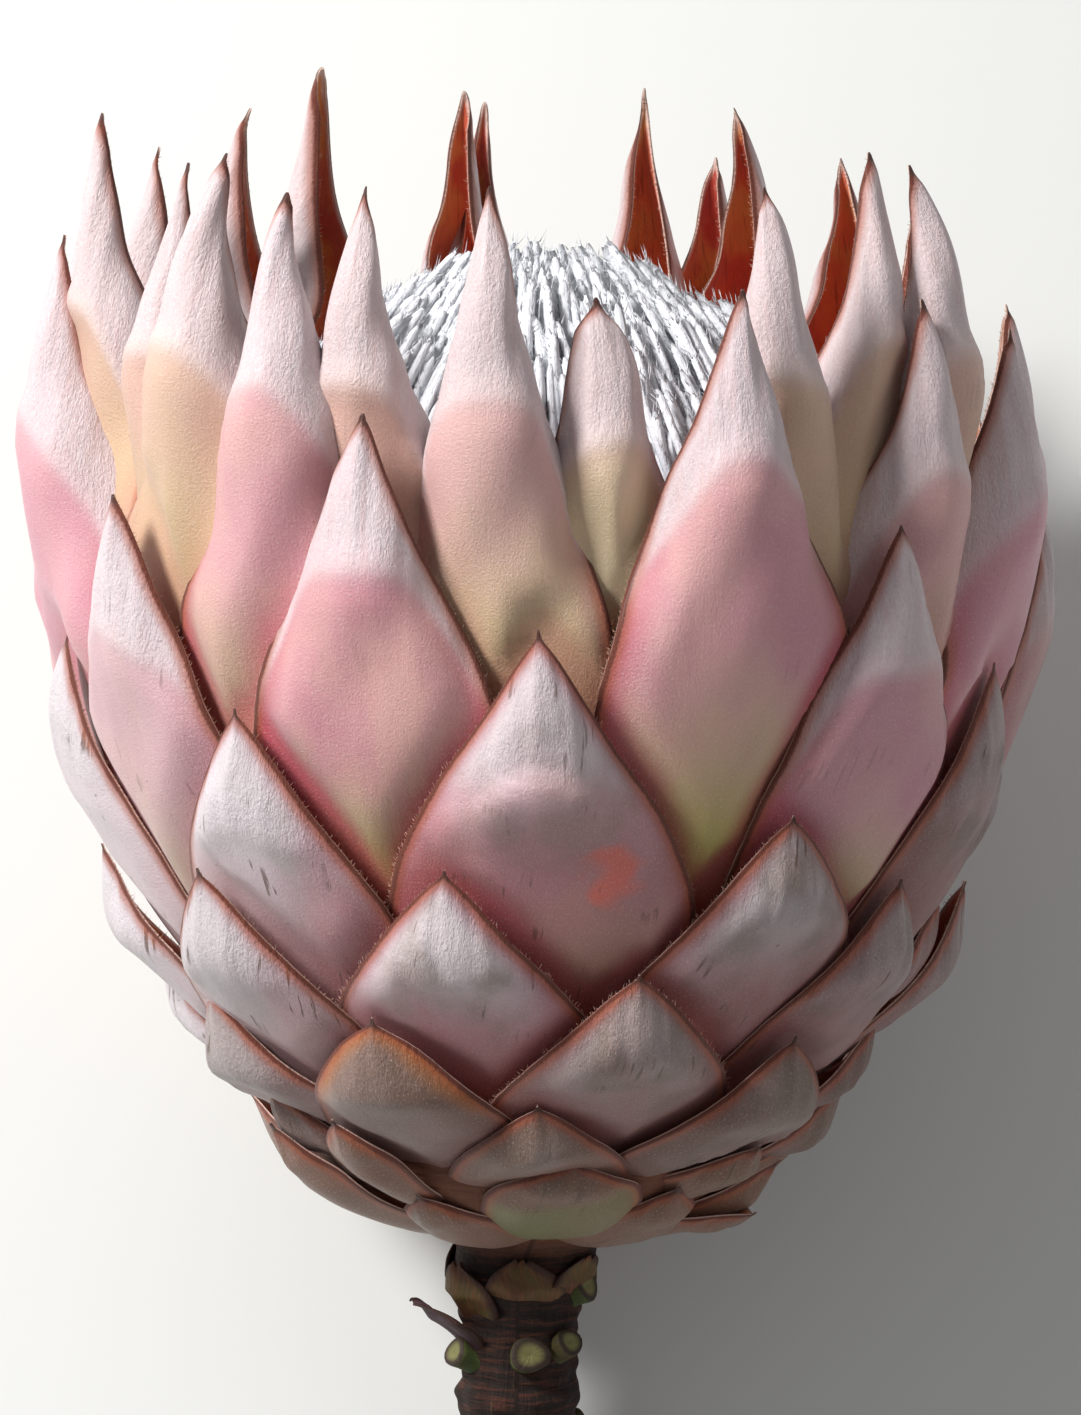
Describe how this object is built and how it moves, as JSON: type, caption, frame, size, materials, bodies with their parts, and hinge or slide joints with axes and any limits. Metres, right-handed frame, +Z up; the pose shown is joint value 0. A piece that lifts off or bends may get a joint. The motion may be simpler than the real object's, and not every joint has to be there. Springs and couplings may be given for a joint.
{
  "type": "king protea flower",
  "caption": "King protea flower head on a short cut stem, lying on its side: a cup of overlapping pointed pink bracts round a white floret dome.",
  "frame": {"origin": "centre of the bounding box in plan, on the surface that the flower lies on", "axes": "+Z up; the flower lies along Y with its cut stem towards -Y and the tips of its bracts towards +Y, raised"},
  "size_m": [0.1384, 0.2076, 0.1543],
  "materials": {
    "stem": "rough dark bark, with dry brown and pinkish scales at the foot of the cup",
    "florets": "matt white silky hair",
    "outer_bracts": "leathery, silvery pink with a soft sheen, brown at the edge",
    "tall_bracts": "leathery, silky silver pink outside and salmon to dark red inside"
  },
  "bodies": {
    "root": {"bract_01": "outer_bracts", "bract_02": "outer_bracts", "bract_03": "outer_bracts", "bract_04": "outer_bracts", "bract_05": "outer_bracts", "bract_06": "outer_bracts", "bract_07": "outer_bracts", "bract_08": "outer_bracts", "bract_09": "outer_bracts", "bract_10": "outer_bracts", "bract_11": "outer_bracts", "bract_12": "outer_bracts", "bract_13": "outer_bracts", "bract_14": "outer_bracts", "bract_15": "outer_bracts", "bract_16": "outer_bracts", "bract_17": "outer_bracts", "bract_18": "outer_bracts", "bract_19": "outer_bracts", "bract_20": "outer_bracts", "bract_21": "outer_bracts", "bract_22": "outer_bracts", "bract_23": "outer_bracts", "bract_24": "outer_bracts", "bract_25": "outer_bracts", "bract_26": "outer_bracts", "bract_27": "tall_bracts", "bract_28": "tall_bracts", "bract_29": "tall_bracts", "bract_30": "tall_bracts", "bract_31": "tall_bracts", "bract_32": "tall_bracts", "bract_33": "tall_bracts", "bract_34": "tall_bracts", "bract_35": "tall_bracts", "bract_36": "tall_bracts", "bract_37": "tall_bracts", "bract_38": "tall_bracts", "bract_39": "tall_bracts", "bract_40": "tall_bracts", "bract_41": "tall_bracts", "bract_42": "tall_bracts", "bract_43": "tall_bracts", "bract_44": "tall_bracts", "bract_45": "tall_bracts", "bract_46": "tall_bracts", "bract_47": "tall_bracts", "bract_48": "tall_bracts", "bract_49": "tall_bracts", "bract_50": "tall_bracts", "bract_51": "tall_bracts", "bract_52": "tall_bracts", "bract_53": "tall_bracts", "bract_54": "tall_bracts", "bract_55": "tall_bracts", "bract_56": "tall_bracts", "bract_57": "tall_bracts", "bract_58": "tall_bracts", "florets": "florets", "stem": "stem"}
  },
  "joints": []
}
